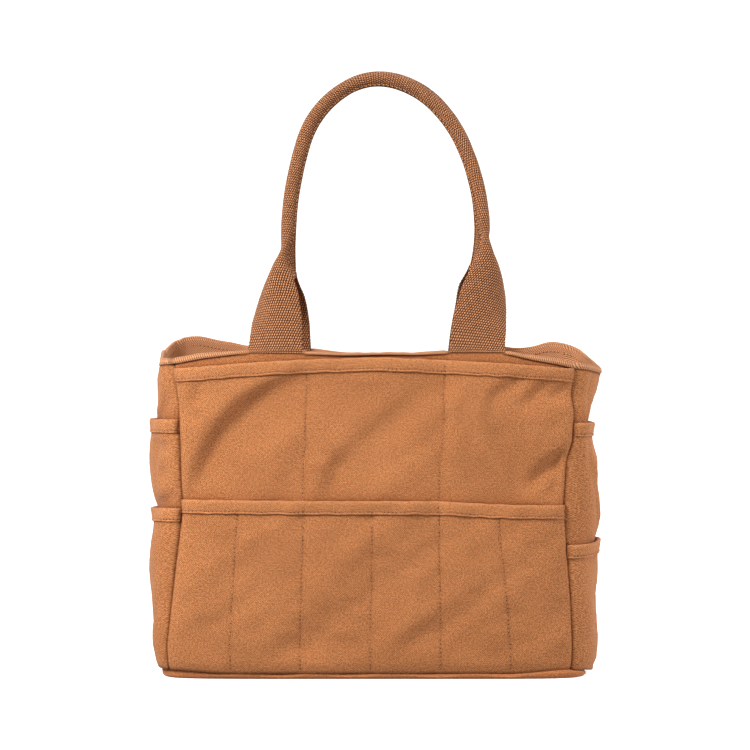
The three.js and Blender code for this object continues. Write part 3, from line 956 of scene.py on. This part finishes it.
# The base canvas's section, x outward from the plan and y up from the floor, from the middle of its underside
# out round the seam and back to the middle of its upper side.
BASE_SECTION = [(-74, 0.05), (-50, 0.05), (-25, 0.05), (-8, 0.0), (-3.2, -0.1), (-1.2, 0.05), (0.8, 0.7),
                (1.9, 2.0), (2.4, 3.8), (2.3, 5.4), (1.5, 6.4), (0.2, 6.8), (-0.9, 6.4), (-1.6, 5.2),
                (-2.0, 3.8), (-4, 2.0), (-9, 1.6), (-25, 1.55), (-50, 1.55), (-74, 1.55)]


def add_base():
    """The base's canvas, one ring after another along its section."""
    rings, uvs = [], []
    for (out, z), run in zip(BASE_SECTION, walked(BASE_SECTION)):
        inset, shift = max(0.0, -out), max(0.0, out)
        # Rings of the flat middle shrink toward the bag's long axis instead of crossing it.
        keep = 0.001 + 0.999 * (1 - min(1.0, inset / HALF_DEPTH))
        begun = 0.0
        for side in range(4):
            half = float(half_length(side, 0))
            s = np.linspace(-half, half, int(2 * half / 3.2), endpoint=False)
            x, y, nx, ny = plan(side, s, 0 * s)
            x = np.sign(x) * np.maximum(np.abs(x) - inset, 0.0) + nx * shift
            y = y * keep + ny * shift
            lift = (foot_height(side, s) - FOOT + 1.2 + 0.3 * wave(61 + side, 4, 30, 80)(s)) * (z > 3)
            rings.append(np.stack([x, y, z + lift], -1))
            uvs.append(np.stack([(begun + s + half) * MM, 0 * s + run * MM + 0.7], -1))
            begun += 2 * half
    rows = len(BASE_SECTION)
    points = np.concatenate(rings)
    columns = len(points) // rows
    look = canvas_material("tan_canvas_base", tone=(222, 142, 88), depth=(160, 94, 52))
    obj = link("base_canvas", points, grid_faces(rows, columns, wrap=True), look, "canvas",
               np.concatenate(uvs), sharp=50, painted_light_and_wear=np.zeros(len(points)))
    close_ends(obj, columns, rows)
    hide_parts("base_panel")


add_base()

LINING_LOOK = canvas_material("tan_canvas_lining", from_cut=False)
for node, look in (("base_lining", LINING_LOOK), ("base_stiffener", BOARD_LOOK)):
    obj = frame["nodes"][node]
    obj.data.materials.clear()
    obj.data.materials.append(look)


# ---------------------------------------------------------------- stitching

THREAD_RADIUS = 0.3
THREAD_LENGTH = 2.7  # the part of each stitch that shows


def stitches(name, lines):
    """Single lock stitches along lines of points with outward normals, and between them small dark cones for
    the needle holes, painted dark as the holes and the shade in them.
    """
    thread_v, thread_f, hole_v, hole_f = [], [], [], []
    corners, rings, hole_corners = 5, 4, 6
    for points, normals in lines:
        run = np.concatenate([[0], np.cumsum(np.linalg.norm(np.diff(points, axis=0), axis=1))])
        count = int((run[-1] - 1) / STITCH)
        middles = (np.arange(count) + 0.5) * (run[-1] / max(count, 1))

        def sample(at, values):
            return np.stack([np.interp(at, run, values[:, k]) for k in range(3)], -1)

        centres, ups = sample(middles, points), unit(sample(middles, normals))
        beyond, behind = np.minimum(middles + 0.6, run[-1]), np.maximum(middles - 0.6, 0)
        aheads = unit(sample(beyond, points) - sample(behind, points))
        ups = unit(ups - aheads * np.sum(ups * aheads, 1, keepdims=True))
        for centre, up, ahead, across in zip(centres, ups, aheads, np.cross(aheads, ups)):
            start = len(thread_v)
            for t in np.linspace(-1, 1, rings):
                thick = THREAD_RADIUS * (0.55 + 0.45 * math.cos(t * 1.35))
                middle = centre + ahead * t * THREAD_LENGTH / 2 + up * (0.2 * math.cos(t * 1.57) - 0.04)
                for a in np.arange(corners) * TURN / corners:
                    thread_v.append(middle + thick * (math.cos(a) * across + math.sin(a) * up))
            thread_f += grid_faces(rings, corners, start, wrap=True).tolist()
            thread_f.append([start + j for j in reversed(range(corners))])
            thread_f.append([start + (rings - 1) * corners + j for j in range(corners)])
            # A small dark cone at each needle hole, painted dark for the hole and its shade.
            start = len(hole_v)
            for radius, rise in ((0.62, 0.06), (0.3, -0.44)):
                at = centre + ahead * STITCH / 2 + up * rise
                for a in np.arange(hole_corners) * TURN / hole_corners:
                    hole_v.append(at + radius * (math.cos(a) * ahead + math.sin(a) * across))
            hole_f.append([start + j for j in range(hole_corners)])
            hole_f.append([start + hole_corners + j for j in reversed(range(hole_corners))])
            hole_f += grid_faces(2, hole_corners, start, wrap=True).tolist()
    for kind, verts, faces, look in (("thread", thread_v, thread_f, THREAD_LOOK),
                                     ("needle_holes_and_shade", hole_v, hole_f, HOLE_AND_SHADE_LOOK)):
        obj = new_object(f"{name}_{kind}", np.array(verts) * MM, faces, look)
        outward(obj)
        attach(obj, "bag")


def wall_line(side, s, z, out, flip=False):
    """Points along a line on the wall, with their outward normals, turned inward for a line on the inside."""
    s, z = np.broadcast_arrays(np.asarray(s, float), np.asarray(z, float))
    points = wall(side, s, z, out)
    beyond = wall(side, s, z, np.asarray(out) + 1.0)
    normals = beyond - points
    return points, (-normals if flip else normals)


def side_stitching(side):
    """The rows along the pockets' mouths and dividers, and the rows inside along the rim tape."""
    outer, inner = [], []
    for tier in TIERS:
        mouth = MOUTH_SHAPES[side, tier]
        half = float(half_length(side, mouth(0))) - 1
        s = np.linspace(-half, half, 240)
        z = mouth(s) - STITCH_DROP
        outer.append(wall_line(side, s, z, sheet_out(side, tier, s, z) + CANVAS + 0.98))
        for top, foot in DIVIDERS[tier][side]:
            high = float(mouth(top)) - 1
            low = FEET[tier][side] + (1.5 if tier == "upper" else 1)
            z = np.linspace(high, low, 160)
            uneven = 0.25 * wave(3 * int(top + 200), 3, 20, 60)(z)
            line = foot + (top - foot) * (z - low) / (high - low) + uneven
            # The row climbs over the binding.
            over = ease(z, high - 10.5, high - 9.5) * 0.9 + ease(z, high - 9.9, high - 8.8) * 0.35
            outer.append(wall_line(side, line, z, sheet_out(side, tier, line, z) + CANVAS + over))
            inner.append(wall_line(side, line, z, 0 * z, flip=True))
    half = float(half_length(side, RIM)) - 1
    s = np.linspace(-half, half, 240)
    for drop in (4.2, 22.2):
        inner.append(wall_line(side, s, rim_height(side, s) - drop, -1.32 - tape_stand(side, s), flip=True))
    stitches(f"{NAMES[side]}_outer_stitching", outer)
    stitches(f"{NAMES[side]}_inner_stitching", inner)


for side in range(4):
    side_stitching(side)


# ---------------------------------------------------------------- handles

# Each handle's side of the bag, and whether x runs with that side's s or against it.
HANDLE_SIDES = {"front": (FRONT, 1), "back": (BACK, -1)}
hinges = {joint["name"]: joint for joint in frame["record"]["behaviour"]["joints"]}
PIVOT = np.array(hinges["front_handle_fold"]["pos_m"]) / MM
LEAN = math.radians(15)
STEP = 1.25  # between rows along the webbing
COLUMNS = 45  # across the webbing
BASE_FRONT = -2.1  # the webbing's outer face, outward from the handle's plane, at the rim
GRIP_FRONT = 3.4  # and along the grip
GRIP_RADIUS = 5.8
GRIP_ANGLE = 0.93 * math.pi  # half the angle that the rolled webbing goes through
FIN = 1.6  # how far the webbing's two edges stand out where they are sewn together
GRIP_WRAP = 2 * (GRIP_RADIUS * GRIP_ANGLE + FIN)
SEAM_TURN = 0.58  # how far the fin is turned out of the inside of the arch, by the share of half the angle
SEWN = 58  # the length of each end inside the rim
ROPE_RADIUS = 4.6
ROPE_START = 112  # from the rim, along the handle
# Each handle's middle line: x across the bag, and the distance up along the leaning handle.
HANDLE_LINES = {
    "front": [(-85.2, 0), (-85, 10), (-84.1, 28), (-82.7, 53), (-80.6, 75), (-78.9, 87), (-76.6, 95),
              (-74.9, 105), (-74.2, 120), (-72.9, 137), (-70.9, 152), (-66.6, 174), (-60.6, 197),
              (-54.1, 212), (-44.1, 226), (-33.5, 236), (-23, 243.3), (-12.4, 248), (-1.8, 250.4),
              (8.9, 250.4), (19.5, 248.2), (30.1, 244), (40.6, 238.2), (52.5, 228.5), (66.1, 212),
              (75.2, 196.7), (84.2, 174.4), (90.2, 152), (92.8, 137), (94.9, 116.5), (96, 107), (97.2, 102),
              (96.8, 95), (96.4, 88), (97.2, 80), (97.4, 70), (96.2, 60), (94, 44), (91.3, 25), (89.4, 10),
              (89.2, 0)],
    "back": [(-80.9, 0), (-80.9, 10), (-80.3, 30), (-79.2, 50), (-78.6, 66), (-77.8, 80), (-77.3, 104),
             (-76.4, 120), (-75.2, 137), (-73, 152), (-68.4, 175), (-62.2, 198), (-55.6, 213),
             (-45.2, 227.5), (-34, 238), (-23.2, 245.5), (-12.4, 250.3), (-1.6, 252.8), (10, 252.8),
             (21.2, 250.8), (32.4, 246.6), (43.2, 240.8), (55.4, 231), (69.2, 214), (78.4, 198),
             (87, 175.5), (93, 153), (95.6, 138), (97.2, 117), (96.6, 101), (94.4, 85), (92.4, 73),
             (92, 60), (93.2, 46), (92.8, 30), (91.3, 10), (91.1, 0)],
}
# How wide each end looks from the front, by the distance along the handle from the rim.
LOOKS_WIDE = {
    key: smooth_curve([(0, 46.5), *knots, (160, 13.4)], 3)
    for key, knots in {
        ("front", "left"): [(28, 42.8), (53, 34), (64, 27.2), (75, 18.3), (87, 9), (94, 6.8), (103, 11.6),
                            (116, 13.4)],
        ("front", "right"): [(25, 45.7), (45, 41.4), (61, 35.8), (71, 30.4), (82, 23), (90, 15.6), (98, 10.4),
                             (104, 7), (111, 11.4), (122, 13.4)],
        ("back", "left"): [(30, 42), (46, 36), (56, 31), (68, 20), (78, 15), (88, 14), (98, 13.4)],
        ("back", "right"): [(30, 42), (46, 37), (56, 34), (65, 30), (74, 20), (84, 14), (100, 13.4)],
    }.items()
}


def handle_path(which):
    """The distance walked, evenly spaced points on the middle line and their directions."""
    line = np.array(HANDLE_LINES[which], float)
    run = walked(line)
    curve_x, curve_y = (smooth_curve(list(zip(run, line[:, k])), 8) for k in (0, 1))
    total = run[-1]
    at = np.linspace(0, total, int(total / STEP) + 1)
    points = np.stack([curve_x(at), curve_y(at)], -1)
    points[:, 1] -= points[0, 1] * (1 - ease(at, 0, 20)) + points[-1, 1] * ease(at, total - 20, total)
    return at, points, unit(np.gradient(points, axis=0))


def webbing_section(half_angle, columns=COLUMNS):
    """The middle of the webbing's section once it is rolled through an angle: x across toward the inside of
    the arch, y outward. Its outer edge goes round behind and comes to the other edge on the inside of the
    arch, where both stand out as a small fin."""
    t = np.linspace(-1, 1, columns)
    closed = float(ease(half_angle, 0.6 * GRIP_ANGLE, GRIP_ANGLE))
    length = 2 * WEBBING_HALF + (GRIP_WRAP - 2 * WEBBING_HALF) * closed
    round_share = 1 - 2 * FIN / GRIP_WRAP * closed
    radius = length / 2 * round_share / half_angle
    turn = np.clip(t / round_share, -1, 1) * half_angle
    spare = np.clip(np.abs(t) - round_share, 0, 1) * length / 2
    x = radius * np.sin(turn) + np.sign(t) * spare * math.cos(half_angle) * (1 - closed)
    y = radius * np.cos(turn) - spare * (math.sin(half_angle) * (1 - closed) + closed)
    spin = SEAM_TURN * half_angle
    return x * math.cos(spin) - y * math.sin(spin), x * math.sin(spin) + y * math.cos(spin)


ROLLS = np.linspace(0.01, GRIP_ANGLE, 80)
ROLL_WIDTHS = np.array([np.ptp(webbing_section(roll, 81)[0]) for roll in ROLLS])


def handle_sections(which, at):
    """The webbing's section at each place along it, as offsets across (toward the inside of the arch) and
    outward, for its two faces."""
    outer, inner = [], []
    total = at[-1]
    for place in at:
        near = min(place, total - place)
        wide = float(LOOKS_WIDE[which, "left" if place < total / 2 else "right"](near))
        wide -= WEBBING * float(ease(46 - wide, 6, 22))
        closing = np.flatnonzero(ROLL_WIDTHS <= max(wide, ROLL_WIDTHS.min() + 0.05))[0]
        roll = ROLLS[closing]
        if closing > 0:
            share = (ROLL_WIDTHS[closing - 1] - wide) / (ROLL_WIDTHS[closing - 1] - ROLL_WIDTHS[closing])
            roll = ROLLS[closing - 1] + (roll - ROLLS[closing - 1]) * np.clip(share, 0, 1)
        if near > 80:
            roll = max(roll, GRIP_ANGLE * float(ease(near, 60, 100)))
        across, out = webbing_section(roll)
        across = (across - (across.max() + across.min()) / 2) * min(1.0, wide / np.ptp(across))
        out = out - out.max() + BASE_FRONT + (GRIP_FRONT - BASE_FRONT) * float(ease(near, 4, 96))
        nx, ny = -np.gradient(out), np.gradient(across)
        size = np.maximum(np.hypot(nx, ny), 1e-6)
        for offset, rows in ((WEBBING / 2, outer), (-WEBBING / 2, inner)):
            rows.append(np.stack([across + nx / size * offset, out + ny / size * offset], -1))
    return np.array(outer), np.array(inner)


def handle_point(which, x, up, out):
    """From the handle's leaning plane to the row's frame."""
    y = PIVOT[1] + up * math.sin(LEAN) - out * math.cos(LEAN)
    z = PIVOT[2] + up * math.cos(LEAN) + out * math.sin(LEAN)
    return np.stack([x, y if which == "front" else -y, z], -1)


def serration(count):
    """The zig-zag of the webbing's edges, by row and column."""
    edges = np.zeros(COLUMNS)
    edges[[0, -1]] = 1
    edges[[1, -2]] = 0.4
    return np.where(np.arange(count) % 2, 0.28, -0.28)[:, None] * edges


def sewn_end(which, edge, out):
    """A face of one end of the webbing, flat on the panel, from its foot up to its edge at the rim."""
    drop = np.arange(SEWN, 0.4, -STEP)[:, None]
    side, sign = HANDLE_SIDES[which]
    s, z = np.broadcast_arrays(edge[None, :, 0] * sign, RIM - drop)
    strip = wall(side, s, z, out)
    strip[..., 0] += serration(len(drop)) * np.sign(edge[:, 0] - edge[:, 0].mean())
    return strip


def add_webbing(which, at, points, ahead):
    inward = np.stack([ahead[:, 1], -ahead[:, 0]], -1)
    # Near the rim the folded ends stay level with it.
    level = 0.6 * ((at < 30) | (at > at[-1] - 30))[:, None]
    faces = []
    for rows, out in zip(handle_sections(which, at), (-GAP, -GAP - WEBBING)):
        flatness = ease(np.ptp(rows[..., 0], axis=1), 14, 30)[:, None]
        across = rows[..., 0] + serration(len(at)) * flatness * np.sign(rows[..., 0])
        x = points[:, 0, None] + inward[:, 0, None] * across
        up = points[:, 1, None] + inward[:, 1, None] * across
        face = handle_point(which, x, np.maximum(up, level), rows[..., 1])
        ends = sewn_end(which, face[0], out), sewn_end(which, face[-1], out)[::-1]
        faces.append(np.concatenate([ends[0], face, ends[1]]))
    outer, inner = faces
    u, v = np.meshgrid(np.linspace(-WEBBING_HALF, WEBBING_HALF, COLUMNS), np.arange(len(outer)) * STEP)
    uv = np.stack([u, v], -1) * MM
    obj = slab(f"{which}_handle_webbing_strip", outer, inner, uv, WEBBING_LOOK, "webbing", body=None)
    outward(obj)
    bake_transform(obj)
    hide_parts(f"{which}_handle_webbing", f"{which}_handle_left_end", f"{which}_handle_right_end")


def add_rope(which, at, points):
    """The rope that fills the grip."""
    corners, count = 12, 160
    rope_at = np.linspace(ROPE_START, at[-1] - ROPE_START, count)
    middle = np.stack([np.interp(rope_at, at, points[:, k]) for k in (0, 1)], -1)
    ahead = unit(np.gradient(middle, axis=0))
    angles = np.linspace(0, TURN, corners, endpoint=False)
    across = ROPE_RADIUS * np.cos(angles)
    out = GRIP_FRONT - GRIP_RADIUS - 0.6 + ROPE_RADIUS * np.sin(angles)
    x = middle[:, :1] + ahead[:, 1:] * across
    up = middle[:, 1:] - ahead[:, :1] * across
    obj = link(f"{which}_handle_rope", handle_point(which, x, up, out), grid_faces(count, corners, wrap=True),
               CORE_LOOK, "core_rope", body=f"{which}_handle")
    close_ends(obj, corners, count)
    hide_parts(f"{which}_handle_core")


def add_end_stitching(which):
    """A boxed cross of stitching that holds each sewn end."""
    side, sign = HANDLE_SIDES[which]
    lines = []
    for end in (-HANDLE_X, HANDLE_X):
        middle = SEWN_SHIFT[which] * sign + end
        corners = [(middle + x, RIM - drop) for drop in (54, 27) for x in (-20, 20)]
        for a, b in ((0, 1), (2, 3), (0, 2), (1, 3), (0, 3), (2, 1)):
            s, z = np.linspace(corners[a], corners[b], 40).T
            lines.append(wall_line(side, s, z, -GAP - WEBBING, flip=True))
    stitches(f"{which}_handle_end_stitching", lines)


for which in ("front", "back"):
    path = handle_path(which)
    add_webbing(which, *path)
    add_rope(which, *path[:2])
    add_end_stitching(which)


# ---------------------------------------------------------------- floor, light and camera


def add_floor():
    """A pale floor that sweeps up into a backdrop."""
    material, net = new_material("studio_floor")
    surface = net.put("ShaderNodeBsdfPrincipled", {
        "Base Color": (0.93, 0.93, 0.93, 1), "Roughness": 0.9, "Emission Color": (1, 1, 1, 1),
        "Emission Strength": 0.72})
    net.put("ShaderNodeOutputMaterial", {"Surface": surface.outputs[0]})
    sweep = [(2.2 + 0.9 * math.sin(a), 0.9 - 0.9 * math.cos(a)) for a in np.linspace(0, math.pi / 2, 14)]
    profile = [(-6, 0), *sweep, (3.1, 5)]
    verts = [(x, y, z) for y, z in profile for x in (-7, 7)]
    faces = [(2 * k, 2 * k + 1, 2 * k + 3, 2 * k + 2) for k in range(len(profile) - 1)]
    obj = new_object("studio_floor", verts, faces, material)
    # The floor throws no light back up at the bag.
    obj.visible_diffuse = False


def add_surround():
    """A white ring for the directions in which the floor doesn't sweep up. It neither lights nor shades."""
    material, net = new_material("studio_surround")
    glow = net.put("ShaderNodeEmission", {"Color": (1, 1, 1, 1), "Strength": 1.0})
    net.put("ShaderNodeOutputMaterial", {"Surface": glow.outputs[0]})
    corners, radius = 48, 5.8
    angles = np.arange(corners) * TURN / corners
    verts = [(radius * math.cos(a), radius * math.sin(a), z) for z in (-0.02, 6) for a in angles]
    obj = new_object("studio_surround", verts, grid_faces(2, corners, wrap=True).tolist(), material)
    obj.visible_diffuse = obj.visible_glossy = obj.visible_shadow = False


# Each lamp's place and size, in metres, and its power in watts.
LAMPS = {
    "key": ((-1.3, -1.12, 1.3), 0.6, 42),
    "fill": ((2.2, -0.5, 0.8), 1.6, 31),
    "top": ((0.1, 0.2, 2.4), 1.4, 6),
    "back": ((0.9, 2.1, 1.2), 1.2, 16),
}


def add_lights():
    world = bpy.data.worlds.new("studio")
    world.use_nodes = True
    background = world.node_tree.nodes["Background"]
    background.inputs["Color"].default_value = (1, 0.93, 0.84, 1)
    background.inputs["Strength"].default_value = 0.36
    bpy.context.scene.world = world
    for name, (place, size, power) in LAMPS.items():
        light = bpy.data.lights.new(name, "AREA")
        light.size = size
        light.energy = power
        lamp = bpy.data.objects.new(name, light)
        lamp.location = place
        lamp.rotation_euler = (Vector((0, 0, 0.2)) - Vector(place)).to_track_quat("-Z", "Y").to_euler()
        bpy.context.scene.collection.objects.link(lamp)


def add_camera():
    camera = bpy.data.cameras.new("camera")
    camera.lens = 134
    camera.sensor_width = 36
    obj = bpy.data.objects.new("camera", camera)
    obj.location = (0.0009, -2.478, 0.262)
    obj.rotation_euler = (math.pi / 2, 0, 0)
    bpy.context.scene.collection.objects.link(obj)
    bpy.context.scene.camera = obj


add_floor()
add_surround()
add_lights()
add_camera()
bpy.context.scene.view_settings.view_transform = "Standard"
